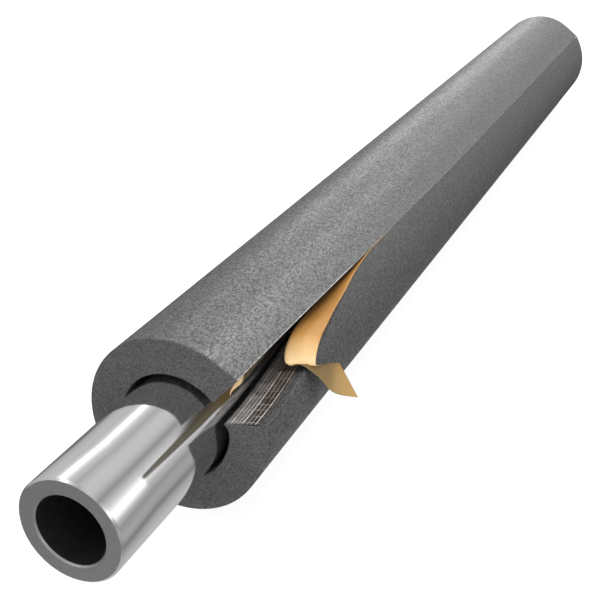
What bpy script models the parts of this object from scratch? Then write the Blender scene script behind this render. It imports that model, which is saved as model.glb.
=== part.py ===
"""A length of split foam pipe insulation (lagging), fitted on a steel pipe.

The grey foam tube lies on its side along Y. It is slit along its upper right side.
At the near end, towards -Y, the slit is spread open: the lower lip is pushed out and
shows the self-adhesive strip on its cut face. The strip's release liner comes out of
the closing slit, folds over and hangs outside the foam. Further on the slit is shut.

Metres, +Z up. The origin is under the middle of the foam tube, on the face it rests on.
Angles are clock angles round the tube's axis: 0 at the top, growing towards +X.
"""
import math

import bmesh
import bpy
from mathutils import Vector

MM = 0.001

FOAM_LENGTH = 600 * MM
FOAM_RADIUS = 34.5 * MM
BORE_RADIUS_SHUT = 19.5 * MM
BORE_RADIUS_MOUTH = 20.8 * MM

PIPE_RADIUS = 19.15 * MM
PIPE_BORE_RADIUS = 12.7 * MM
PIPE_STICKS_OUT = 63 * MM
PIPE_CHAMFER = 0.8 * MM
PIPE_STEPS = 48

ARC_STEP = 7.5
FIRST_FIXED_ANGLE = 101.25
LAST_FIXED_ANGLE = 378.75
LOWER_LIP_STEPS = 6
UPPER_LIP_STEPS = 5

OPEN_LENGTH = 130 * MM
MOUTH_SPACING = 8 * MM

# The sections further on, where the slit is shut, in mm from the near end.
FAR_STATIONS = [150, 180, 220, 270, 340, 420, 510, 600]

SEAM_ANGLE_FAR = 52.7
SEAM_TURN_AT_MOUTH = 6.0
SEAM_TURN_LENGTH = 170 * MM
SHUT_GAP = 0.9 * MM

# Where the four corners of the cut faces stand at the mouth, in degrees from the seam.
OPEN_UPPER_OUTER = -0.4
OPEN_UPPER_INNER = 2.6
OPEN_LOWER_OUTER = 28.5
OPEN_LOWER_INNER = 25.5

# Beside the seam the foam is a little flattened, more above than below, so that the seam
# is a crease.
SEAM_DIP_ABOVE = 1.0 * MM
SEAM_DIP_BELOW = 0.2 * MM
SEAM_DIP_ANGLE = 15.0
SEAM_DIP_SPREAD = 90.0

UPPER_LIP_SWELL = 1.3 * MM
LOWER_LIP_SWELL = 3.4 * MM
UPPER_BORE_SWELL = 0.3 * MM
LOWER_BORE_SWELL = 1.2 * MM
UPPER_SWELL_SPREAD = 25.0
LOWER_SWELL_SPREAD = 48.0
BORE_SWELL_SPREAD = 25.0

CLEARANCE = 0.3 * MM
STRIP_THICKNESS = 0.4 * MM
STRIP_START = 0.8 * MM
STRIP_WIDTH = 12.8 * MM
LINER_THICKNESS = 0.25 * MM
LINER_START = 1.0 * MM
LINER_WIDTH = 12.6 * MM
LINER_SMOOTHING = 6

# The liner slides outwards in the slit before it comes out: place along the tube and
# slide, both in mm.
LINER_SLIDES = [(140, 0.6), (130, 1.8)]

AXIS_HEIGHT = FOAM_RADIUS * math.cos(math.radians(ARC_STEP / 2))
NEAR_END = -FOAM_LENGTH / 2

# The loose part of the liner: its left and right edge, in mm from the centre of the
# tube's near end, from where it leaves the slit to the slanted cut at its tail.
LOOSE_LINER = [
    ((17.6, 117.0, 15.2), (27.5, 118.0, 23.2)),
    ((18.4, 100.0, 15.4), (28.8, 101.0, 22.6)),
    ((19.4, 85.0, 15.7), (30.7, 85.0, 21.3)),
    ((21.0, 67.0, 17.3), (33.1, 67.5, 21.3)),
    ((22.8, 55.0, 18.8), (35.2, 54.7, 21.1)),
    ((24.0, 46.5, 18.5), (36.4, 46.7, 20.5)),
    ((25.0, 40.0, 17.0), (37.5, 40.5, 18.0)),
    ((26.5, 36.5, 14.6), (38.3, 38.5, 15.0)),
    ((28.8, 36.2, 13.5), (38.9, 40.8, 14.0)),
    ((33.6, 34.8, 15.4), (39.5, 44.3, 12.2)),
    ((39.4, 37.2, 9.8), (39.9, 48.0, 10.0)),
    ((43.8, 42.2, 1.2), (40.3, 51.5, 8.2)),
    ((50.8, 49.0, -3.0), (40.6, 55.0, 6.6)),
]


def clear_scene():
    for old in list(bpy.data.objects):
        bpy.data.objects.remove(old, do_unlink=True)


def make_collection(name):
    collection = bpy.data.collections.new(name)
    bpy.context.scene.collection.children.link(collection)
    return collection


def make_material(name, color, roughness, metallic):
    material = bpy.data.materials.new(name)
    material.use_nodes = True
    shader = material.node_tree.nodes["Principled BSDF"]
    shader.inputs["Base Color"].default_value = (*color, 1.0)
    shader.inputs["Roughness"].default_value = roughness
    shader.inputs["Metallic"].default_value = metallic
    material.diffuse_color = (*color, 1.0)
    return material


def add_object(name, mesh, material, collection, smooth_angle=None):
    """Put a mesh in the scene as a named object with one material."""
    mesh.materials.append(material)
    if smooth_angle is not None:
        mesh.shade_smooth()
        mesh.set_sharp_from_angle(angle=math.radians(smooth_angle))
    new_object = bpy.data.objects.new(name, mesh)
    collection.objects.link(new_object)
    return new_object


def mix(a, b, share):
    return a + (b - a) * share


def smoothstep(value):
    value = min(max(value, 0.0), 1.0)
    return value * value * (3 - 2 * value)


def openness(y):
    """How far the slit is spread at a distance y from the near end: 1 at the mouth, 0 shut."""
    return 1 - smoothstep(y / OPEN_LENGTH)


def seam_angle(y):
    """The slit turns a little down the side on its way to the far end."""
    return SEAM_ANGLE_FAR - SEAM_TURN_AT_MOUTH * math.exp(-(y / SEAM_TURN_LENGTH) ** 2)


def half_gap_angle(radius):
    return math.degrees(math.asin(SHUT_GAP / 2 / radius))


def at_clock(radius, angle, y):
    """The point at this radius and clock angle, y along the tube from its near end."""
    turn = math.radians(angle)
    return Vector((radius * math.sin(turn), NEAR_END + y, AXIS_HEIGHT + radius * math.cos(turn)))


def from_near_end(point_mm):
    x, y, z = point_mm
    return Vector((x * MM, NEAR_END + y * MM, AXIS_HEIGHT + z * MM))


def bore_radius(y):
    return mix(BORE_RADIUS_SHUT, BORE_RADIUS_MOUTH, openness(y))


def lip_angles(y):
    """Clock angles of the cut faces' corners: upper outer, upper inner, lower outer, lower inner."""
    seam = seam_angle(y)
    share = openness(y)
    outer = half_gap_angle(FOAM_RADIUS)
    inner = half_gap_angle(BORE_RADIUS_SHUT)
    return (
        seam + mix(-outer, OPEN_UPPER_OUTER, share),
        seam + mix(-inner, OPEN_UPPER_INNER, share),
        seam + mix(outer, OPEN_LOWER_OUTER, share),
        seam + mix(inner, OPEN_LOWER_INNER, share),
    )


def swell(angle_from_lip, spread):
    """Falls smoothly from 1 at the lip to 0 at the given angle away from it."""
    return 1 - smoothstep(angle_from_lip / spread)


def lift(angle_from_lip, spread):
    """Falls from 1 at the lip to 0 at the given angle away from it, fast at first."""
    return max(1 - angle_from_lip / spread, 0.0) ** 2


def dip(angle_from_lip):
    """Grows from 0 at the lip to 1 at the dip's angle, and fades out to 0 again."""
    share = angle_from_lip / SEAM_DIP_ANGLE
    return share * math.exp(1 - share) * swell(angle_from_lip, SEAM_DIP_SPREAD)


def outer_radius(y, below_lower_lip, above_upper_lip):
    """The tube's outer radius, with the dips beside the seam and the spread lips' swell."""
    share = openness(y)
    dips = SEAM_DIP_BELOW * dip(below_lower_lip) + SEAM_DIP_ABOVE * dip(above_upper_lip)
    lower = share * LOWER_LIP_SWELL * swell(below_lower_lip, LOWER_SWELL_SPREAD)
    upper = share * UPPER_LIP_SWELL * lift(above_upper_lip, UPPER_SWELL_SPREAD)
    return FOAM_RADIUS - (1 - share) * dips + lower + upper


def inner_radius(y, below_lower_lip, above_upper_lip):
    share = openness(y)
    lower = share * LOWER_BORE_SWELL * swell(below_lower_lip, BORE_SWELL_SPREAD)
    upper = share * UPPER_BORE_SWELL * swell(above_upper_lip, BORE_SWELL_SPREAD)
    return bore_radius(y) + lower + upper


def arc_angles(lower_angle, upper_angle):
    """Angles from the lower lip round the bottom to the upper lip, fixed away from the lips."""
    angles = []
    for step in range(LOWER_LIP_STEPS):
        angles.append(mix(lower_angle, FIRST_FIXED_ANGLE, step / LOWER_LIP_STEPS))
    fixed_steps = round((LAST_FIXED_ANGLE - FIRST_FIXED_ANGLE) / ARC_STEP)
    for step in range(fixed_steps):
        angles.append(FIRST_FIXED_ANGLE + step * ARC_STEP)
    for step in range(UPPER_LIP_STEPS + 1):
        angles.append(mix(LAST_FIXED_ANGLE, 360 + upper_angle, step / UPPER_LIP_STEPS))
    return angles


def foam_arcs(y):
    """The outer and the inner arc of the foam's section, both from the lower lip to the upper."""
    upper_outer, upper_inner, lower_outer, lower_inner = lip_angles(y)
    outer = []
    for angle in arc_angles(lower_outer, upper_outer):
        radius = outer_radius(y, angle - lower_outer, 360 + upper_outer - angle)
        outer.append(at_clock(radius, angle, y))
    inner = []
    for angle in arc_angles(lower_inner, upper_inner):
        radius = inner_radius(y, angle - lower_inner, 360 + upper_inner - angle)
        inner.append(at_clock(radius, angle, y))
    return outer, inner


def lip_frame(y):
    """The lower cut face at y: its bore corner, the way outwards, and the way into the slit."""
    outer, inner = foam_arcs(y)
    outwards = (outer[0] - inner[0]).normalized()
    into_slit = Vector((-outwards.z, 0, outwards.x))
    return inner[0], outwards, into_slit


def on_lip(y, across, above):
    """A point on or above the lower cut face, measured outwards from its bore corner."""
    corner, outwards, into_slit = lip_frame(y)
    return corner + outwards * across + into_slit * above


def stations():
    """Places along the tube, close together where the slit opens."""
    places = []
    count = round(OPEN_LENGTH / MOUTH_SPACING)
    for step in range(count + 1):
        places.append(OPEN_LENGTH * step / count)
    for place in FAR_STATIONS:
        places.append(place * MM)
    return places


def loft(name, sections, make_cap):
    """Join closed sections of equal point count with quads, and close both ends."""
    mesh = bmesh.new()
    rings = []
    for section in sections:
        ring = [mesh.verts.new(point) for point in section]
        rings.append(ring)
    count = len(rings[0])
    for ring, following in zip(rings, rings[1:]):
        for index in range(count):
            after = (index + 1) % count
            mesh.faces.new((ring[index], ring[after], following[after], following[index]))
    for ring in (rings[0], rings[-1]):
        for corners in make_cap(count):
            mesh.faces.new([ring[index] for index in corners])
    bmesh.ops.recalc_face_normals(mesh, faces=mesh.faces)
    result = bpy.data.meshes.new(name)
    mesh.to_mesh(result)
    mesh.free()
    return result


def foam_section(y):
    """The C-shaped section, with a shallow seat for the adhesive strip in its lower cut face."""
    outer, inner = foam_arcs(y)
    seat_depth = STRIP_THICKNESS + CLEARANCE
    seat_start = STRIP_START - CLEARANCE
    seat_end = STRIP_START + STRIP_WIDTH + CLEARANCE
    seat = [
        on_lip(y, seat_start, 0.0),
        on_lip(y, seat_start, -seat_depth),
        on_lip(y, seat_end, -seat_depth),
        on_lip(y, seat_end, 0.0),
    ]
    return outer + inner[::-1] + seat


def foam_cap(count):
    """Quads between the arcs, and one face round the strip's seat in the lower lip."""
    arc = (count - 4) // 2
    faces = [(0, 1, *range(count - 6, count))]
    for index in range(1, arc - 1):
        faces.append((index, index + 1, 2 * arc - 2 - index, 2 * arc - 1 - index))
    return faces


def make_foam_tube(collection):
    material = make_material("foam", (0.26, 0.27, 0.28), 0.95, 0.0)
    sections = [foam_section(y) for y in stations()]
    mesh = loft("foam_tube", sections, foam_cap)
    add_object("foam_tube", mesh, material, collection, smooth_angle=35)


def make_adhesive_strip(collection):
    """The glue strip lies in its seat, flush with the lower cut face, from end to end."""
    material = make_material("adhesive", (0.10, 0.075, 0.055), 0.3, 0.0)
    far_side = STRIP_START + STRIP_WIDTH
    sections = []
    for y in stations():
        sections.append([
            on_lip(y, STRIP_START, -STRIP_THICKNESS),
            on_lip(y, far_side, -STRIP_THICKNESS),
            on_lip(y, far_side, 0.0),
            on_lip(y, STRIP_START, 0.0),
        ])
    mesh = loft("adhesive_strip", sections, lambda count: [tuple(range(count))])
    add_object("adhesive_strip", mesh, material, collection)


def smooth_path(points, steps):
    """A Catmull-Rom curve through the points, with this many steps in each span."""
    path = []
    for index in range(len(points) - 1):
        before = points[max(index - 1, 0)]
        start = points[index]
        end = points[index + 1]
        after = points[min(index + 2, len(points) - 1)]
        for step in range(steps):
            t = step / steps
            path.append(0.5 * (
                2 * start
                + (end - before) * t
                + (2 * before - 5 * start + 4 * end - after) * t ** 2
                + (3 * start - before - 3 * end + after) * t ** 3
            ))
    path.append(points[-1])
    return path


def make_release_liner(collection):
    """A thin film: on the strip as far as the slit is shut, then loose, folded and hanging."""
    material = make_material("release_film", (0.80, 0.52, 0.20), 0.35, 0.0)
    above = CLEARANCE + LINER_THICKNESS / 2
    far = [(place, 0.0) for place in reversed(FAR_STATIONS)]
    left = []
    right = []
    for place, slide in far + LINER_SLIDES:
        inner_side = LINER_START + slide * MM
        left.append(on_lip(place * MM, inner_side, above))
        right.append(on_lip(place * MM, inner_side + LINER_WIDTH, above))
    loose_left = [left[-1]] + [from_near_end(pair[0]) for pair in LOOSE_LINER]
    loose_right = [right[-1]] + [from_near_end(pair[1]) for pair in LOOSE_LINER]
    left += smooth_path(loose_left, LINER_SMOOTHING)[1:]
    right += smooth_path(loose_right, LINER_SMOOTHING)[1:]

    mesh = bmesh.new()
    rows = []
    for left_point, right_point in zip(left, right):
        middle = (left_point + right_point) / 2
        rows.append([mesh.verts.new(point) for point in (left_point, middle, right_point)])
    for row, following in zip(rows, rows[1:]):
        for column in range(2):
            mesh.faces.new((row[column], row[column + 1], following[column + 1], following[column]))
    film = bpy.data.meshes.new("release_liner")
    mesh.to_mesh(film)
    mesh.free()
    liner = add_object("release_liner", film, material, collection, smooth_angle=60)
    wall = liner.modifiers.new("film", "SOLIDIFY")
    wall.thickness = LINER_THICKNESS
    wall.offset = 0.0


def make_steel_pipe(collection):
    """A thick-walled pipe, turned from its wall's section, with a small chamfer at each edge."""
    material = make_material("polished_steel", (0.62, 0.62, 0.62), 0.15, 1.0)
    low = NEAR_END - PIPE_STICKS_OUT
    high = NEAR_END + FOAM_LENGTH
    inside = PIPE_BORE_RADIUS
    outside = PIPE_RADIUS
    profile = [
        (outside - PIPE_CHAMFER, high),
        (outside, high - PIPE_CHAMFER),
        (outside, low + PIPE_CHAMFER),
        (outside - PIPE_CHAMFER, low),
        (inside + PIPE_CHAMFER, low),
        (inside, low + PIPE_CHAMFER),
        (inside, high - PIPE_CHAMFER),
        (inside + PIPE_CHAMFER, high),
    ]
    mesh = bmesh.new()
    points = [mesh.verts.new((radius, 0, along)) for radius, along in profile]
    for point, after in zip(points, points[1:] + points[:1]):
        mesh.edges.new((point, after))
    outline = bpy.data.meshes.new("steel_pipe")
    mesh.to_mesh(outline)
    mesh.free()
    pipe = add_object("steel_pipe", outline, material, collection)
    screw = pipe.modifiers.new("turned", "SCREW")
    screw.angle = math.radians(360)
    screw.steps = PIPE_STEPS
    screw.render_steps = PIPE_STEPS
    screw.axis = "Z"
    screw.use_merge_vertices = True
    screw.merge_threshold = 0.00001
    pipe.location = (0, 0, AXIS_HEIGHT)
    pipe.rotation_euler = (math.radians(-90), 0, 0)


def main():
    clear_scene()
    collection = make_collection("pipe_insulation_lagging")
    make_foam_tube(collection)
    make_adhesive_strip(collection)
    make_release_liner(collection)
    make_steel_pipe(collection)


main()
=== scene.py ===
"""Split foam pipe insulation on a steel pipe, with its adhesive strip and release liner.

Lengths are in millimetres from the middle of the tube's near end (x to the right, y along
the tube, z up) until placed() puts them into the model's frame. Angles are clock angles
round the tube: 0 at the top, growing to the right.
"""
import math

import bpy
import numpy as np
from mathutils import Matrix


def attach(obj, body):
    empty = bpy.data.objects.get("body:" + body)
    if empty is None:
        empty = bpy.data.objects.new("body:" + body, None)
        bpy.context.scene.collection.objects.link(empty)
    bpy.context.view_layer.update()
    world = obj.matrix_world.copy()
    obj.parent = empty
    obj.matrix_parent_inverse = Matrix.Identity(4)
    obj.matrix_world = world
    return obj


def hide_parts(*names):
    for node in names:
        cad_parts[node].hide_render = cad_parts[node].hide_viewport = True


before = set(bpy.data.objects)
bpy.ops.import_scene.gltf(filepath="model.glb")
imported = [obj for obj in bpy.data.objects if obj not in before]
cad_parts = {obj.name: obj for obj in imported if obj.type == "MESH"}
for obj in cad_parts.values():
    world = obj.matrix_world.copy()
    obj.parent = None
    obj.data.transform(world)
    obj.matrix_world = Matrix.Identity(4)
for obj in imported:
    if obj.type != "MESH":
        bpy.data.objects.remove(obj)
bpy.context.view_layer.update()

FOAM_LENGTH = 600.0
FOAM_RADIUS = 34.5
AXIS_HEIGHT = FOAM_RADIUS * math.cos(math.radians(3.75))
BORE_SHUT = 19.5
BORE_MOUTH = 20.8
OPEN_LENGTH = 130.0
SHUT_GAP = 0.9

STRIP_START = 0.8
STRIP_WIDTH = 12.8
STRIP_THICKNESS = 0.4
SEAT_SHOULDER = 0.3
SEAT_DEPTH = STRIP_THICKNESS + 0.03

THICK, THINNER, THIN = 0.2, 0.16, 0.07
# Lengthwise threads: their places across the lip, and their radius.
THREADS = [
    (np.array([2.9, 7.2]), THICK),
    (np.array([12.4]), THINNER),
    (np.array([1.3, 4.4, 5.8, 9.2, 10.8]), THIN),
]
CROSSING_STEP = 4.0

LINER_START = 1.0
LINER_WIDTH = 12.6
LINER_LIFT = 0.425
LINER_THICKNESS = 0.12
# Where the film folds, in metres along it from the tube's far end.
BEND_AT = 0.5655

PIPE_RADIUS = 19.15
PIPE_BORE = 12.7
PIPE_STICKS_OUT = 63.0
PIPE_CHAMFER = 0.8
PIPE_INNER_CHAMFER = 0.6
PIPE_STEPS = 256

EDGE_RADIUS = 0.4
EDGE_STEPS = 5

CELLS_PER_METRE = 2000.0
CELL_STRETCH = (1.0, 0.55, 1.0)


def placed(points):
    """Points in mm from the near end's middle, as metres in the model's frame."""
    return (points + np.array([0.0, -FOAM_LENGTH / 2, AXIS_HEIGHT])) * 0.001


def add_camera():
    """The camera fitted to the photo, with the millimetres of its lens and sensor."""
    data = bpy.data.cameras.new("camera")
    data.lens = 62.63
    data.sensor_width = 36.0
    camera = bpy.data.objects.new("camera", data)
    camera.location = (0.16586, -0.56555, 0.23771)
    camera.rotation_euler = (math.radians(63.66), 0.0, math.radians(23.82))
    bpy.context.scene.collection.objects.link(camera)
    bpy.context.scene.camera = camera


add_camera()


# Shape of the foam tube

def smooth(value):
    """0 below 0, 1 above 1, and t^2 (3 - 2 t) between."""
    t = np.clip(value, 0.0, 1.0)
    return t * t * (3 - 2 * t)


def openness(y):
    """How far the slit is spread: 1 at the mouth, 0 where it is shut."""
    return 1 - smooth(y / OPEN_LENGTH)


def seam_angle(y):
    """The seam's clock angle, which turns down the side away from the mouth."""
    return 52.7 - 6.0 * np.exp(-(y / 170.0) ** 2)


def mix(a, b, share):
    """a at share 0, b at share 1, straight between."""
    return a + (b - a) * share


def lip_angles(y):
    """Clock angles of the cut faces: upper outer, upper inner, lower outer, lower inner."""
    seam = seam_angle(y)
    share = openness(y)
    outer = math.degrees(math.asin(SHUT_GAP / 2 / FOAM_RADIUS))
    inner = math.degrees(math.asin(SHUT_GAP / 2 / BORE_SHUT))
    return (
        seam + mix(-outer, -0.4, share),
        seam + mix(-inner, 2.6, share),
        seam + mix(outer, 28.5, share),
        seam + mix(inner, 25.5, share ** 1.4),
    )


def swell(angle, reach):
    """1 at angle 0, falling smoothly to 0 at the reach."""
    return 1 - smooth(angle / reach)


def dip(angle):
    """t e^(1 - t) with t in units of 17 degrees, faded out by 90 degrees."""
    t = angle / 17.0
    return t * np.exp(1 - t) * swell(angle, 90.0)


def outer_radius(y, below, above):
    """Radius of the outside, below and above being the angles from the lower and upper lip."""
    share = openness(y)
    dips = 0.5 * dip(below) + 1.3 * dip(above)
    return (
        FOAM_RADIUS - (1 - share) * dips
        + share * 3.4 * swell(below, 48.0)
        + share * 1.3 * np.clip(1 - above / 25.0, 0, 1) ** 2
    )


def inner_radius(y, below, above):
    """The bore: wider at the mouth, most of all a little way below the lower lip.

    That bulge is t e^(1 - t) with t in units of 13 degrees.
    """
    share = openness(y)
    radius = mix(BORE_SHUT, BORE_MOUTH, share)
    t = below / 13.0
    bulge = t * np.exp(1 - t) * swell(below, 70.0)
    return radius + share * (1.3 * bulge - 0.2 * swell(below, 10.0) + 0.3 * swell(above, 25.0))


def section_point(around, deep, y):
    """A point of the foam: around 0 at the lower lip to 1 at the upper, deep 0 outside to 1 in.

    The outer and the inner point at the same share of the way round are mixed by depth.
    """
    upper_outer, upper_inner, lower_outer, lower_inner = lip_angles(y)
    outer_angle = mix(lower_outer, 360 + upper_outer, around)
    inner_angle = mix(lower_inner, 360 + upper_inner, around)
    outer = outer_radius(y, outer_angle - lower_outer, 360 + upper_outer - outer_angle)
    inner = inner_radius(y, inner_angle - lower_inner, 360 + upper_inner - inner_angle)
    outer_turn = np.radians(outer_angle)
    inner_turn = np.radians(inner_angle)
    x = mix(outer * np.sin(outer_turn), inner * np.sin(inner_turn), deep)
    z = mix(outer * np.cos(outer_turn), inner * np.cos(inner_turn), deep)
    return np.stack(np.broadcast_arrays(x, y, z), -1)


def foam_point(around, deep, y):
    """section_point() with the shut lips' outermost skin squeezed together.

    Near either lip and the outside, the rounding is pressed square by taking its share off
    the depth, and the point is turned towards the seam by most of the gap's half angle.
    """
    lip_share, skin_share, rounding_share, half_gap = 0.015, 0.1, 0.03, np.radians(0.73)
    shut = 1 - openness(y)
    upper, lower = swell(1 - around, lip_share), swell(around, lip_share)
    flat = rounding_share * shut * (upper + lower)
    point = section_point(around, np.maximum(deep - flat, 0) / (1 - flat), y)
    turn = half_gap * shut * swell(deep, skin_share) * (upper - lower)
    x, z = point[..., 0], point[..., 2]
    return np.stack([
        x * np.cos(turn) + z * np.sin(turn), point[..., 1], z * np.cos(turn) - x * np.sin(turn),
    ], -1)


def lower_lip(y):
    """The lower cut face's bore corner, its two directions, outwards and off the face, and
    its width.
    """
    bore = section_point(0.0, 1.0, y)
    outwards = section_point(0.0, 0.0, y) - bore
    width = np.linalg.norm(outwards, axis=-1)
    outwards /= width[..., None]
    off_face = np.stack([-outwards[..., 2], 0 * y, outwards[..., 0]], -1)
    return bore, outwards, off_face, width


def on_lip(y, across, above):
    """A point over the lower cut face: across it from its bore corner, and above it."""
    y, across, above = np.broadcast_arrays(y, across, above)
    bore, outwards, off_face, _ = lower_lip(y)
    return bore + outwards * across[..., None] + off_face * above[..., None]


# Mesh helpers

def grid_faces(rows, columns, first=0, closed=False):
    """Corner numbers of the quads of a grid of points, joined round in columns if closed."""
    row, column = np.meshgrid(
        np.arange(rows - 1), np.arange(columns if closed else columns - 1), indexing="ij")
    after = (column + 1) % columns
    corners = [row * columns + column, row * columns + after,
               (row + 1) * columns + after, (row + 1) * columns + column]
    return np.stack(corners, -1).reshape(-1, 4) + first


def add_piece(name, points, faces, materials, uv=None, smooth_angle=None, marks=None):
    """A piece made of quads, riding on the part's one body.

    uv gives two measures of each point, marks the number of each quad's material.
    """
    mesh = bpy.data.meshes.new(name)
    mesh.from_pydata(placed(np.reshape(points, (-1, 3))).tolist(), [], faces.tolist())
    if uv is not None:
        layer = mesh.uv_layers.new(name="across_along")
        corner = np.empty(len(mesh.loops), np.int32)
        mesh.loops.foreach_get("vertex_index", corner)
        layer.data.foreach_set("uv", np.reshape(uv, (-1, 2))[corner].astype(np.float32).ravel())
    if marks is not None:
        mesh.polygons.foreach_set("material_index", marks.astype(np.int32))
    mesh.validate()
    mesh.shade_smooth()
    if smooth_angle is not None:
        mesh.set_sharp_from_angle(angle=math.radians(smooth_angle))
    for material in materials:
        mesh.materials.append(material)
    piece = bpy.data.objects.new(name, mesh)
    bpy.context.scene.collection.objects.link(piece)
    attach(piece, "root")
    return piece


# Materials

def new_material(name, color, roughness, metallic=0.0):
    """A material, its node tree and its shader with plain starting values."""
    material = bpy.data.materials.new(name)
    material.use_nodes = True
    shader = material.node_tree.nodes["Principled BSDF"]
    shader.inputs["Base Color"].default_value = (*color, 1.0)
    shader.inputs["Roughness"].default_value = roughness
    shader.inputs["Metallic"].default_value = metallic
    return material, material.node_tree, shader


def object_place(tree, stretch=None):
    """Object coordinates, each axis scaled if asked."""
    place = tree.nodes.new("ShaderNodeTexCoord")
    if stretch is None:
        return place.outputs["Object"]
    scaled = tree.nodes.new("ShaderNodeMapping")
    scaled.inputs["Scale"].default_value = stretch
    tree.links.new(place.outputs["Object"], scaled.inputs["Vector"])
    return scaled.outputs["Vector"]


def noise_at(tree, scale, detail=2.0, stretch=None, roughness=0.5):
    """Noise on Object coordinates, scale in features per metre, stretched if asked."""
    noise = tree.nodes.new("ShaderNodeTexNoise")
    noise.inputs["Scale"].default_value = scale
    noise.inputs["Detail"].default_value = detail
    noise.inputs["Roughness"].default_value = roughness
    tree.links.new(object_place(tree, stretch), noise.inputs["Vector"])
    return noise.outputs["Fac"]


def grey(level):
    """This level in red, green and blue."""
    return (level, level, level)


def ramp(tree, value, stops):
    """Colours by value: stops is a list of (place, colour)."""
    node = tree.nodes.new("ShaderNodeValToRGB")
    tree.links.new(value, node.inputs["Fac"])
    points = node.color_ramp.elements
    while len(points) < len(stops):
        points.new(0.5)
    for point, (place, color) in zip(points, stops):
        point.position = place
        point.color = (*color, 1.0)
    return node.outputs["Color"]


def drive(tree, shader, socket, value, stops):
    """A ramp of the value, linked to a socket of the shader."""
    tree.links.new(ramp(tree, value, stops), shader.inputs[socket])


def bump(tree, shader, height, distance, strength, under=None):
    """A bump of the height, in metres, over the one under it. Returns its normal."""
    node = tree.nodes.new("ShaderNodeBump")
    node.inputs["Distance"].default_value = distance
    node.inputs["Strength"].default_value = strength
    tree.links.new(height, node.inputs["Height"])
    if under is not None:
        tree.links.new(under, node.inputs["Normal"])
    tree.links.new(node.outputs["Normal"], shader.inputs["Normal"])
    return node.outputs["Normal"]


def blend(tree, first, second, share):
    """The first value mixed with a share of the second."""
    node = tree.nodes.new("ShaderNodeMix")
    node.data_type = "FLOAT"
    node.inputs[0].default_value = share
    tree.links.new(first, node.inputs[2])
    tree.links.new(second, node.inputs[3])
    return node.outputs[0]


def mix_colors(tree, share, first, second):
    """The first colour mixed with the second, either one a colour or a linked value."""
    node = tree.nodes.new("ShaderNodeMixRGB")
    tree.links.new(share, node.inputs["Fac"])
    for color, socket in ((first, node.inputs["Color1"]), (second, node.inputs["Color2"])):
        if isinstance(color, tuple):
            socket.default_value = (*color, 1.0)
        else:
            tree.links.new(color, socket)
    return node.outputs["Color"]


def spread(tree, value, low, high):
    """0 where the value is low, 1 where it is high, straight between."""
    node = tree.nodes.new("ShaderNodeMapRange")
    node.inputs["From Min"].default_value = low
    node.inputs["From Max"].default_value = high
    tree.links.new(value, node.inputs["Value"])
    return node.outputs["Result"]


def along_tube(tree):
    """The model's Y, in metres: -0.3 at the tube's near end."""
    parts = tree.nodes.new("ShaderNodeSeparateXYZ")
    tree.links.new(object_place(tree), parts.inputs["Vector"])
    return parts.outputs["Y"]


def across_and_along(tree):
    """The piece's own two measures in metres: across and along it."""
    place = tree.nodes.new("ShaderNodeUVMap")
    place.uv_map = "across_along"
    parts = tree.nodes.new("ShaderNodeSeparateXYZ")
    tree.links.new(place.outputs["UV"], parts.inputs["Vector"])
    return parts.outputs["X"], parts.outputs["Y"]


def foam_material(name, dark, light, roughness=0.5):
    """Closed-cell foam: each cell has its own grey and gloss, in darker and paler clouds."""
    material, tree, shader = new_material(name, light, roughness)
    cells = tree.nodes.new("ShaderNodeTexVoronoi")
    cells.inputs["Scale"].default_value = CELLS_PER_METRE
    tree.links.new(object_place(tree, CELL_STRETCH), cells.inputs["Vector"])
    parts = tree.nodes.new("ShaderNodeSeparateColor")
    tree.links.new(cells.outputs["Color"], parts.inputs["Color"])
    cell = parts.outputs["Red"]
    clouds = noise_at(tree, CELLS_PER_METRE / 2, 2.0, stretch=CELL_STRETCH, roughness=0.7)
    speckle = blend(tree, cell, clouds, 0.35)
    drive(tree, shader, "Base Color", speckle, [(0.2, dark), (0.8, light)])
    drive(tree, shader, "Roughness", speckle, [
        (0.2, grey(roughness + 0.16)), (0.8, grey(roughness - 0.15))])
    under = bump(tree, shader, clouds, 0.0004, 0.3)
    bump(tree, shader, cell, 0.00016, 0.75, under)
    return material


def adhesive_material():
    """Brown glue, painted paler and greyer towards the mouth and the bore corner as painted
    light, so that it stays darker deeper in the slit.
    """
    material, tree, shader = new_material("adhesive", (0.03, 0.022, 0.016), 0.3)
    smear = noise_at(tree, 260.0, 4.0)
    glue = ramp(tree, smear, [(0.25, (0.016, 0.011, 0.008)), (0.75, (0.042, 0.031, 0.024))])
    # The pale grey is painted light, mixed in towards the mouth and the bore corner; the darker
    # glue is the strip's own colour.
    film = ramp(tree, smear, [(0.25, (0.10, 0.093, 0.092)), (0.75, (0.23, 0.216, 0.214))])
    across, along = across_and_along(tree)
    reach = blend(tree, spread(tree, along, 0.075, 0.0), spread(tree, across, 0.012, 0.0), 0.6)
    color = mix_colors(tree, spread(tree, reach, 0.45, 0.95), glue, film)
    tree.links.new(color, shader.inputs["Base Color"])
    drive(tree, shader, "Roughness", smear, [(0.3, grey(0.22)), (0.7, grey(0.5))])
    bump(tree, shader, smear, 0.0001, 0.3)
    return material


def thread_material():
    """Pale threads, painted darker and browner further into the slit as painted shade."""
    material, tree, shader = new_material("strip_thread", (0.35, 0.31, 0.27), 0.4)
    wear = noise_at(tree, 260.0, 2.0)
    unshaded_colors = ramp(tree, wear, [(0.35, (0.27, 0.26, 0.247)), (0.65, (0.54, 0.522, 0.50))])
    # Painted shade: darker, browner colours towards the inside of the slit.
    painted_shade_colors = ramp(tree, wear, [(0.35, (0.05, 0.036, 0.028)), (0.65, (0.17, 0.138, 0.115))])
    shade_inwards = spread(tree, along_tube(tree), -0.3, -0.262)
    tree.links.new(mix_colors(tree, shade_inwards, unshaded_colors, painted_shade_colors), shader.inputs["Base Color"])
    return material


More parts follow.
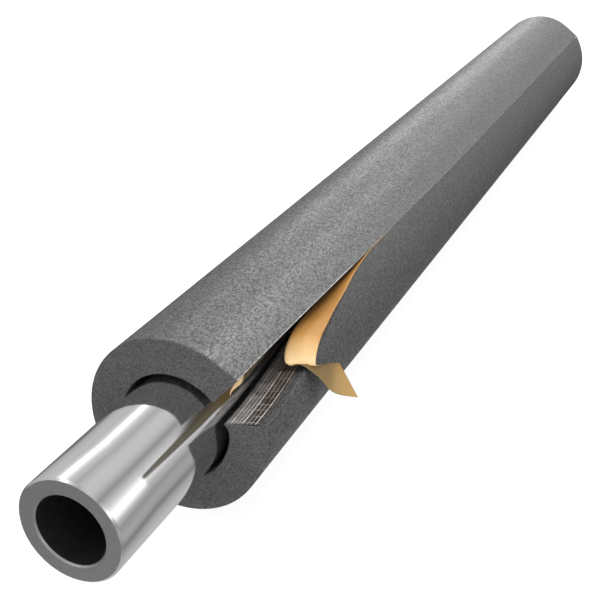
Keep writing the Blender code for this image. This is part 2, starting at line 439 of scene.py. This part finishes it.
def liner_material(name, dark, pale, painted_highlight, painted_shade_tail, roughness):
    """Siliconed paper: golden in soft clouds, satin, with a painted highlight of pale cream
    where it bends, then painted shade on the tail past the bend, darkest just past the fold.
    """
    material, tree, shader = new_material(name, pale, roughness)
    cloud = noise_at(tree, 45.0, 3.0)
    color = ramp(tree, cloud, [(0.3, dark), (0.7, pale)])
    _, along = across_and_along(tree)
    # Painted highlight: the colour turns pale cream towards the bend.
    bend_highlight = spread(tree, along, BEND_AT - 0.013, BEND_AT)
    color = mix_colors(tree, bend_highlight, color, painted_highlight)
    # Painted shade past the bend: the tail runs from dark brown just past the fold, under the
    # leaf, to a paler gold further on.
    past = spread(tree, along, BEND_AT + 0.001, BEND_AT + 0.004)
    tail = mix_colors(tree, spread(tree, along, BEND_AT + 0.006, BEND_AT + 0.024), *painted_shade_tail)
    color = mix_colors(tree, past, color, tail)
    tree.links.new(color, shader.inputs["Base Color"])
    fibre = noise_at(tree, 900.0, 2.0)
    bump(tree, shader, fibre, 0.00008, 0.3)
    return material


def steel_material():
    """Drawn steel: mirror-like, with faint lengthwise draw lines."""
    material, tree, shader = new_material("polished_steel", (0.75, 0.75, 0.76), 0.1, 1.0)
    lines = noise_at(tree, 260.0, 3.0, stretch=(1.0, 0.015, 1.0))
    drive(tree, shader, "Roughness", lines, [(0.3, grey(0.04)), (0.75, grey(0.10))])
    drive(tree, shader, "Base Color", lines, [
        (0.3, (0.70, 0.70, 0.71)), (0.7, (0.78, 0.78, 0.79))])
    bump(tree, shader, lines, 0.00002, 0.2)
    return material


def faced_steel_material():
    """The faced pipe ends: matt grey steel with a fine grain."""
    material, tree, shader = new_material("faced_steel", (0.45, 0.45, 0.45), 0.48, 1.0)
    grain = noise_at(tree, 900.0, 3.0)
    drive(tree, shader, "Roughness", grain, [(0.3, grey(0.45)), (0.7, grey(0.52))])
    drive(tree, shader, "Base Color", grain, [(0.3, grey(0.43)), (0.7, grey(0.48))])
    bump(tree, shader, grain, 0.00002, 0.2)
    return material


def dark_bore_material():
    """The pipe's bore: painted nearly black as painted shade of the deep hole, faintly mottled.
    """
    material, tree, shader = new_material("bore_painted_shade", (0.012, 0.012, 0.012), 0.7)
    # The noise only mottles the painted shade; both ends of the ramp are near black.
    scale = noise_at(tree, 300.0, 4.0)
    drive(tree, shader, "Base Color", scale, [(0.3, grey(0.003)), (0.7, (0.010, 0.0095, 0.009))])
    bump(tree, shader, scale, 0.0002, 0.5)
    return material


# The foam tube

def line_with_edges(length, inside):
    """Places from 0 to length: close together along both edges' rounding, and inside, which
    gives shares from 0 to 1, between them.
    """
    near = EDGE_RADIUS * (1 - np.cos(np.linspace(0, np.pi / 2, EDGE_STEPS)))
    middle = EDGE_RADIUS + (length - 2 * EDGE_RADIUS) * inside[1:-1]
    return np.concatenate([near, middle, length - near[::-1]])


def rounded_box(a, b, c, size):
    """Points of a box's surface drawn in to a rounding: from the point of the box shrunk by
    the edge radius that is nearest, one edge radius towards the surface point.
    """
    point = np.stack(np.broadcast_arrays(a, b, c), -1)
    core = np.clip(point, EDGE_RADIUS, size - EDGE_RADIUS)
    away = point - core
    return core + EDGE_RADIUS * away / np.linalg.norm(away, axis=-1, keepdims=True)


def foam_marks(side, rows, columns):
    """Which of the foam's materials each quad of a side of its box has.

    The outside's first and last rows lie along the lower and the upper lip. Where the slit is
    open, the lower lip's rows get a darker, matter copy of the cut foam as painted shade, and
    the upper lip's rows get a pale painted highlight along the edge. The lower lip's cut face
    has the same painted shade all along.
    """
    material = {"outside": SKIN, "lower lip": LIP_PAINTED_SHADE}.get(side, CUT)
    marks = np.full((rows, columns), material)
    if side == "outside":
        marks[-3:, :OPEN_COLUMNS] = EDGE_PAINTED_HIGHLIGHT
        marks[:5, :OPEN_COLUMNS] = LIP_PAINTED_SHADE
    return marks.ravel()


def make_foam_tube():
    """The foam as a rounded box bent into a C.

    The box is measured along the arc, through the wall and along the tube. Its six sides
    are grids; each point's shares of the three sizes go through foam_point(). Half of the
    grids are turned over, so that all face outwards.
    """
    size = np.array([FOAM_ARC, FOAM_WALL, FOAM_LENGTH])
    share = np.linspace(0, 1, 121)
    towards_lips = share - 0.11 * np.sin(2 * np.pi * share)
    towards_mouth = np.linspace(0, 1, 90) ** 1.6
    a = line_with_edges(FOAM_ARC, towards_lips)
    b = line_with_edges(FOAM_WALL, np.linspace(0, 1, 13))
    c = line_with_edges(FOAM_LENGTH, towards_mouth)
    sides = [
        ("outside", a[:, None], 0.0, c[None, :], True),
        ("bore", a[:, None], FOAM_WALL, c[None, :], False),
        ("near end", a[:, None], b[None, :], 0.0, False),
        ("far end", a[:, None], b[None, :], FOAM_LENGTH, True),
        ("lower lip", 0.0, b[:, None], c[None, :], False),
        ("upper lip", FOAM_ARC, b[:, None], c[None, :], True),
    ]
    points, faces, marks = [], [], []
    count = 0
    for side, first, second, third, turned in sides:
        surface = rounded_box(first, second, third, size)
        rows, columns = surface.shape[:2]
        around, deep = surface[..., 0] / FOAM_ARC, surface[..., 1] / FOAM_WALL
        bent = foam_point(around, deep, surface[..., 2])
        if side == "lower lip":
            bent = sink_seat(bent, deep, surface[..., 2])
        quads = grid_faces(rows, columns, count)
        points.append(bent.reshape(-1, 3))
        faces.append(quads[:, ::-1] if turned else quads)
        marks.append(foam_marks(side, rows - 1, columns - 1))
        count += rows * columns
    points, faces = merge_points(np.concatenate(points), np.concatenate(faces))
    piece = add_piece("foam_skin", points, faces, FOAM_MATERIALS, marks=np.concatenate(marks))
    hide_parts("foam_tube")
    return piece


def merge_points(points, faces):
    """One point for all that lie within a thousandth of a millimetre."""
    key = np.round(points * 1000).astype(np.int64)
    _, first, where = np.unique(key, axis=0, return_index=True, return_inverse=True)
    return points[first], where.reshape(-1)[faces]


def sink_seat(points, deep, y):
    """Lower the lip's face by the strip's thickness over the strip's width."""
    _, _, off_face, width = lower_lip(y)
    across = (1 - deep) * width
    inside = smooth((across - STRIP_START + SEAT_SHOULDER) / SEAT_SHOULDER)
    inside *= 1 - smooth((across - STRIP_START - STRIP_WIDTH) / SEAT_SHOULDER)
    return points - off_face * (inside * SEAT_DEPTH)[..., None]


# The box that the foam is bent from: its arc is 300 degrees at a radius of 27 mm.
FOAM_ARC = 2 * math.pi * 27.0 * 300 / 360
FOAM_WALL = 14.0

# Columns of the box's grid from the mouth to where the slit is shut.
OPEN_COLUMNS = 34

SKIN, CUT, EDGE_PAINTED_HIGHLIGHT, LIP_PAINTED_SHADE = range(4)
FOAM_MATERIALS = [
    foam_material("foam", (0.022, 0.0223, 0.0228), (0.080, 0.081, 0.083)),
    foam_material("foam_cut", (0.100, 0.1005, 0.101), (0.200, 0.201, 0.204)),
    # A pale painted highlight along the upper lip's open edge.
    foam_material("foam_edge_painted_highlight", (0.20, 0.20, 0.19), (0.46, 0.45, 0.43)),
    # A darker, matter copy of the cut foam: painted shade on the lower lip.
    foam_material("foam_lip_painted_shade", (0.016, 0.0162, 0.016), (0.060, 0.060, 0.059), 0.8),
]


# The adhesive strip and its threads

def make_adhesive_strip():
    """A flat bar in its seat on the lower cut face: a closed section carried along y."""
    y = np.concatenate([np.linspace(0.4, 140, 90), np.linspace(150, 599.6, 40)])
    far = STRIP_START + STRIP_WIDTH
    round_off = 0.12
    across = np.array([STRIP_START, far, far, far - round_off, STRIP_START + round_off,
                       STRIP_START])
    above = np.array([-STRIP_THICKNESS, -STRIP_THICKNESS, -round_off, 0.0, 0.0, -round_off])
    section = on_lip(y[:, None], across[None, :], above[None, :])
    faces = grid_faces(len(y), len(across), closed=True)[:, ::-1]
    ends = np.array([[0, 1, 2, 5], [5, 2, 3, 4]])
    last = (len(y) - 1) * len(across)
    faces = np.concatenate([faces, ends, (ends + last)[:, ::-1]])
    uv = np.stack(np.broadcast_arrays(across[None, :], y[:, None]), -1) * 0.001
    piece = add_piece("glue_strip", section, faces, [ADHESIVE], uv=uv, smooth_angle=40)
    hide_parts("adhesive_strip")
    return piece


def tubes(paths, radius, sides=6):
    """Round threads along many paths of equal point count: a ring about each path point.

    paths is (threads, points, 3). The ring lies across the path's direction.
    """
    along = np.gradient(paths, axis=1)
    along /= np.linalg.norm(along, axis=-1, keepdims=True)
    off_the_lip = np.array([0.5, 0.0, 0.85])
    side = np.cross(along, off_the_lip)
    side /= np.linalg.norm(side, axis=-1, keepdims=True)
    over = np.cross(side, along)
    turn = np.arange(sides) * 2 * np.pi / sides
    ring = (side[:, :, None] * np.cos(turn)[:, None] + over[:, :, None] * np.sin(turn)[:, None])
    points = paths[:, :, None] + ring * radius
    count = paths.shape[1]
    one = grid_faces(count, sides, closed=True)
    faces = one[None] + (np.arange(len(paths)) * count * sides)[:, None, None]
    return points.reshape(-1, 3), faces.reshape(-1, 4)


def make_threads():
    """The strip's scrim: thick and thin lengthwise threads, and fine ones that cross them.

    All wander a little by a sine of how far along them, shifted by where they start.
    """
    y = np.concatenate([np.linspace(0.6, 140, 120), np.linspace(150, 599, 30)])
    paths = []
    for across, radius in THREADS:
        wander = 0.12 * np.sin(y[None, :] / 17.0 + across[:, None])
        paths.append((on_lip(y[None, :], across[:, None] + wander, 0.05), radius))
    start = np.arange(2.0, 598, CROSSING_STEP)
    across = np.linspace(STRIP_START + 0.2, STRIP_START + STRIP_WIDTH - 0.2, 14)
    wander = 0.25 * np.sin(across[None, :] / 3.1 + start[:, None])
    paths.append((on_lip(start[:, None] + wander, across[None, :], 0.02), THIN))
    points, faces, count = [], [], 0
    for path, radius in paths:
        rings, quads = tubes(path, radius)
        points.append(rings)
        faces.append(quads + count)
        count += len(rings)
    piece = add_piece("strip_threads", np.concatenate(points), np.concatenate(faces), [THREAD])
    return piece


ADHESIVE = adhesive_material()
THREAD = thread_material()


# The release liner

# The loose film's left and right edge, from the shut slit over the fold to the tail's tip.
LOOSE_LINER = np.array([
    ((17.6, 117.0, 15.2), (27.5, 118.0, 23.2)),
    ((18.4, 100.0, 15.4), (28.8, 101.0, 22.6)),
    ((19.4, 85.0, 15.7), (30.7, 85.0, 21.3)),
    ((21.0, 67.0, 17.3), (33.1, 67.5, 21.3)),
    ((22.8, 55.0, 18.8), (35.2, 54.7, 21.1)),
    ((24.0, 46.5, 18.5), (36.4, 46.7, 20.5)),
    ((25.0, 40.0, 16.2), (37.5, 40.0, 17.3)),
    ((26.5, 36.5, 13.5), (38.2, 38.0, 13.9)),
    ((28.8, 36.2, 12.5), (38.8, 40.3, 12.8)),
    ((33.6, 34.8, 14.6), (39.5, 44.3, 11.6)),
    ((39.4, 37.2, 9.8), (39.9, 48.0, 10.0)),
    ((43.8, 42.2, 1.2), (40.3, 51.5, 8.2)),
    ((50.8, 49.0, -3.0), (40.6, 55.0, 6.6)),
])


def smooth_path(points, steps):
    """Catmull-Rom curve through rows of points: on each span the usual cubic in t."""
    padded = np.concatenate([points[:1], points, points[-1:]])
    before, start, end, after = padded[:-3], padded[1:-2], padded[2:-1], padded[3:]
    t = (np.arange(steps) / steps).reshape(1, steps, *[1] * (points.ndim - 1))
    before, start, end, after = (p[:, None] for p in (before, start, end, after))
    curve = 0.5 * (
        2 * start + (end - before) * t
        + (2 * before - 5 * start + 4 * end - after) * t ** 2
        + (3 * start - before - 3 * end + after) * t ** 3
    )
    return np.concatenate([curve.reshape(-1, *points.shape[1:]), points[-1:]])


def liner_edges():
    """The film's left and right edge, from the far end to the tail."""
    far = np.array([600, 510, 420, 340, 270, 220, 180, 165, 155, 148, 140, 130.0])
    slide = np.array([0, 0, 0, 0, 0, 0, 0, 0.3, 1.2, 1.5, 1.65, 1.9])
    left = on_lip(far, LINER_START + slide, LINER_LIFT)
    right = on_lip(far, LINER_START + slide + LINER_WIDTH, LINER_LIFT)
    pairs = np.stack([left, right], 1)
    loose = smooth_path(np.concatenate([pairs[-1:], LOOSE_LINER]), 12)
    return np.concatenate([pairs[:-1], loose])


def make_release_liner():
    """A film ruled between its two edges, given a thin wall."""
    edges = liner_edges()
    share = np.linspace(0, 1, 15)
    points = mix(edges[:, None, 0], edges[:, None, 1], share[None, :, None])
    rows, columns = points.shape[:2]
    step = np.linalg.norm(np.diff(edges.mean(1), axis=0), axis=1)
    along = np.concatenate([[0], np.cumsum(step)]) * 0.001
    uv = np.stack(np.broadcast_arrays(share[None, :] * LINER_WIDTH * 0.001, along[:, None]), -1)
    piece = add_piece("liner_film", points, grid_faces(rows, columns)[:, ::-1],
                      [LINER_FACE, LINER_BACK], uv=uv)
    wall = piece.modifiers.new("film", "SOLIDIFY")
    wall.thickness = LINER_THICKNESS * 0.001
    wall.offset = 0.0
    wall.material_offset = 1
    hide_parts("release_liner")
    return piece


# Each film's colours: dark and pale clouds, then the painted highlight at the bend, then the
# tail's painted shade from dark to pale.
LINER_FACE = liner_material(
    "release_film", (0.56, 0.27, 0.068), (0.66, 0.34, 0.095), (0.84, 0.60, 0.31),
    ((0.16, 0.105, 0.042), (0.48, 0.30, 0.105)), 0.36)
LINER_BACK = liner_material(
    "release_film_back", (0.20, 0.135, 0.04), (0.30, 0.205, 0.07), (0.38, 0.29, 0.15),
    ((0.12, 0.085, 0.035), (0.24, 0.17, 0.065)), 0.4)


# The steel pipe

def make_pipe():
    """A section of the pipe's wall carried round the axis, its corners eased by a tiny cut."""
    low, high = -PIPE_STICKS_OUT, FOAM_LENGTH
    inside, outside = PIPE_BORE, PIPE_RADIUS
    outer, inner = PIPE_CHAMFER, PIPE_INNER_CHAMFER
    tiny = 0.12
    radius, along = np.array([
        (outside - outer, low),
        (outside - tiny / 2, low + outer - tiny / 2),
        (outside, low + outer + tiny),
        (outside, low + 20),
        (outside, 0),
        (outside, high - outer - tiny),
        (outside - tiny / 2, high - outer + tiny / 2),
        (outside - outer, high),
        (inside + inner, high),
        (inside + tiny / 2, high - inner + tiny / 2),
        (inside, high - inner - tiny),
        (inside, low + inner + tiny),
        (inside + tiny / 2, low + inner - tiny / 2),
        (inside + inner, low),
    ]).T
    turn = np.arange(PIPE_STEPS) * 2 * np.pi / PIPE_STEPS
    points = np.stack(np.broadcast_arrays(
        radius[None, :] * np.sin(turn)[:, None],
        along[None, :],
        radius[None, :] * np.cos(turn)[:, None]), -1)
    columns = len(radius)
    faces = grid_faces(PIPE_STEPS + 1, columns, closed=True) % (PIPE_STEPS * columns)
    column = np.tile(np.arange(columns), PIPE_STEPS)
    marks = np.full(len(faces), POLISHED)
    marks[np.isin(column, FACED_COLUMNS)] = FACED
    marks[column == BORE_COLUMN] = BORE
    piece = add_piece("pipe", points, faces, PIPE_MATERIALS, smooth_angle=25, marks=marks)
    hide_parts("steel_pipe")
    return piece


# The section's sides that are the faced ends and inner chamfers, and the one that is the bore.
FACED_COLUMNS = (7, 8, 9, 11, 12, 13)
BORE_COLUMN = 10

POLISHED, FACED, BORE = range(3)
PIPE_MATERIALS = [steel_material(), faced_steel_material(), dark_bore_material()]


# The studio

BOX_DISTANCE = 1.6


def make_floor():
    """A pale sheet that glows a little, as a light table does, and lights nothing."""
    mesh = bpy.data.meshes.new("floor")
    reach = 30.0
    mesh.from_pydata(
        [(-reach, -reach, 0), (reach, -reach, 0), (reach, reach, 0), (-reach, reach, 0)],
        [], [(0, 1, 2, 3)])
    material, _, shader = new_material("pale_floor", grey(0.2), 0.9)
    shader.inputs["Emission Color"].default_value = (1.0, 1.0, 1.0, 1.0)
    shader.inputs["Emission Strength"].default_value = 0.92
    mesh.materials.append(material)
    floor = bpy.data.objects.new("floor", mesh)
    floor.visible_glossy = False
    floor.visible_diffuse = False
    bpy.context.scene.collection.objects.link(floor)


def add_soft_light(name, place, turn, size, radiance, receivers):
    """A soft light of size (width, length) at a place, turned by Euler angles in degrees.

    It shines on what the collection receivers lets it.
    """
    data = bpy.data.lights.new(name, "AREA")
    data.shape = "RECTANGLE"
    data.size, data.size_y = size
    data.energy = radiance * math.pi * size[0] * size[1]
    light = bpy.data.objects.new(name, data)
    light.location = place
    light.rotation_euler = [math.radians(angle) for angle in turn]
    light.light_linking.receiver_collection = receivers
    bpy.context.scene.collection.objects.link(light)


def add_long_box(name, clock, y, size, radiance, receivers):
    """A long soft light over the tube at a clock angle, facing the tube's middle line."""
    turn = math.radians(clock)
    place = (BOX_DISTANCE * math.sin(turn), y, BOX_DISTANCE * math.cos(turn))
    add_soft_light(name, place, (0.0, clock, 0.0), size, radiance, receivers)


def light_group(name, pieces, state):
    """A collection that lets a light shine on these pieces only, or on all but these."""
    group = bpy.data.collections.new(name)
    for index, piece in enumerate(pieces):
        group.objects.link(piece)
        group.collection_objects[index].light_linking.link_state = state
    return group


# Brightness of the studio round the tube's axis, by clock angle: soft boxes and the gaps
# between them, as the polished pipe mirrors them. The right box is dimmer further along.
BANDS_BEFORE = [
    (-180, 0.46), (-155, 0.40), (-138, 0.20), (-120, 0.12), (-104, 0.17), (-96, 0.36),
    (-76, 0.46), (-55, 0.50), (-48, 0.66), (-43, 1.30), (-36, 1.45), (-31, 0.85),
    (-24, 0.56), (-11, 0.42), (2, 0.54), (14, 0.55), (27, 0.47), (39, 0.29), (46, 0.42),
]
RIGHT_BOX_NEAR = [(58, 0.66), (64, 0.95), (74, 1.35), (79, 1.00), (87, 0.50)]
RIGHT_BOX_FAR = [(57, 0.58), (63, 0.68), (70, 0.72), (77, 0.66), (84, 0.48)]
BANDS_AFTER = [(98, 0.30), (113, 0.38), (124, 0.32), (134, 0.20), (150, 0.36), (168, 0.44)]

# A brown card stands before the right box: the clock angles of its two edges by how far
# along the tube it is seen, as the Y of the direction.
CARD_EDGES = [
    (0.655, 65.5, 66.5), (0.664, 63.5, 69.0), (0.680, 62.5, 72.0), (0.697, 62.0, 75.3),
    (0.706, 62.0, 76.5), (0.712, 58.0, 77.5), (0.719, 51.0, 79.0), (0.726, 44.0, 80.0),
    (0.740, 44.0, 80.0), (0.749, 44.0, 90.0), (0.780, 44.0, 92.0),
]
CARD_NEAR = (0.130, 0.115, 0.095)
CARD_DARK = (0.042, 0.035, 0.022)
CARD_BROWN = (0.110, 0.095, 0.066)
CARD_GOLD = (0.095, 0.064, 0.024)
CARD_SOFTNESS = 0.008


def band_stops(right_box):
    """Ramp stops for all bands by clock angle, the ramp running from -180 to 180 degrees."""
    bands = BANDS_BEFORE + right_box + BANDS_AFTER
    return [((clock + 180) / 360, grey(level)) for clock, level in bands]


def calculate(tree, operation, first, second):
    """A Math node's result for two linked values."""
    node = tree.nodes.new("ShaderNodeMath")
    node.operation = operation
    tree.links.new(first, node.inputs[0])
    tree.links.new(second, node.inputs[1])
    return node.outputs["Value"]


def add_card(tree, along, clock, around):
    """The brown card over the bands around it: near, wide and dark at its left, then golden.

    The clock is in hundreds of degrees, so that a colour ramp can hold both edges.
    """
    first, last = CARD_EDGES[0][0], CARD_EDGES[-1][0]
    edges = tree.nodes.new("ShaderNodeSeparateColor")
    tree.links.new(ramp(tree, spread(tree, along, first, last), [
        ((place - first) / (last - first), (left / 100, right / 100, 0.0))
        for place, left, right in CARD_EDGES]), edges.inputs["Color"])
    past_left = calculate(tree, "SUBTRACT", clock, edges.outputs["Red"])
    past_right = calculate(tree, "SUBTRACT", clock, edges.outputs["Green"])
    within = calculate(tree, "MULTIPLY",
                       spread(tree, past_left, -CARD_SOFTNESS, CARD_SOFTNESS),
                       spread(tree, past_right, CARD_SOFTNESS, -CARD_SOFTNESS))
    shown = calculate(tree, "MULTIPLY", within, spread(tree, along, first, first + 0.009))
    wide = mix_colors(tree, spread(tree, clock, 0.60, 0.72), CARD_DARK, CARD_BROWN)
    card = mix_colors(tree, spread(tree, along, 0.704, 0.724), CARD_NEAR, wide)
    card = mix_colors(tree, spread(tree, along, 0.738, 0.750), card, CARD_GOLD)
    return mix_colors(tree, shown, around, card)


def make_world():
    """A studio whose brightness changes round the tube's axis, by a ray's direction.

    The far wall is dim. The camera itself sees the studio as plain white.
    """
    world = bpy.data.worlds.new("studio")
    world.use_nodes = True
    tree = world.node_tree
    place = tree.nodes.new("ShaderNodeTexCoord")
    parts = tree.nodes.new("ShaderNodeSeparateXYZ")
    tree.links.new(place.outputs["Generated"], parts.inputs["Vector"])
    along = parts.outputs["Y"]
    clock = calculate(tree, "ARCTAN2", parts.outputs["X"], parts.outputs["Z"])
    share = spread(tree, clock, -math.pi, math.pi)
    near = ramp(tree, share, band_stops(RIGHT_BOX_NEAR))
    far = ramp(tree, share, band_stops(RIGHT_BOX_FAR))
    around = mix_colors(tree, spread(tree, along, 0.650, 0.674), near, far)
    around = add_card(tree, along, spread(tree, clock, 0.0, math.radians(100)), around)
    around = mix_colors(tree, spread(tree, along, 0.74, 1.0), around, grey(0.05))
    seen = tree.nodes.new("ShaderNodeLightPath")
    shown = mix_colors(tree, seen.outputs["Is Camera Ray"], around, grey(0.77))
    tree.links.new(shown, tree.nodes["Background"].inputs["Color"])
    tree.nodes["Background"].inputs["Strength"].default_value = 1.3
    bpy.context.scene.world = world
    bpy.context.scene.view_settings.view_transform = "Standard"


foam = make_foam_tube()
strip = make_adhesive_strip()
threads = make_threads()
liner = make_release_liner()
pipe = make_pipe()
make_floor()
make_world()

not_by_boxes = light_group("not_lit_by_boxes", [pipe, liner], "EXCLUDE")
by_front = light_group("lit_by_front_box", [liner, strip, threads], "INCLUDE")
by_right = light_group("lit_by_right_box", [foam], "INCLUDE")
add_long_box("left_box", clock=-47.0, y=5.4, size=(0.45, 7.0), radiance=8.0,
             receivers=not_by_boxes)
add_long_box("top_box", clock=13.0, y=1.1, size=(0.5, 2.5), radiance=12.0,
             receivers=not_by_boxes)
add_long_box("right_box", clock=47.0, y=0.9, size=(0.4, 2.4), radiance=8.4,
             receivers=by_right)
add_soft_light("front_box", place=(0.12, -0.935, 0.665), turn=(49.4, 0.0, 7.6),
               size=(0.5, 0.5), radiance=8.0, receivers=by_front)
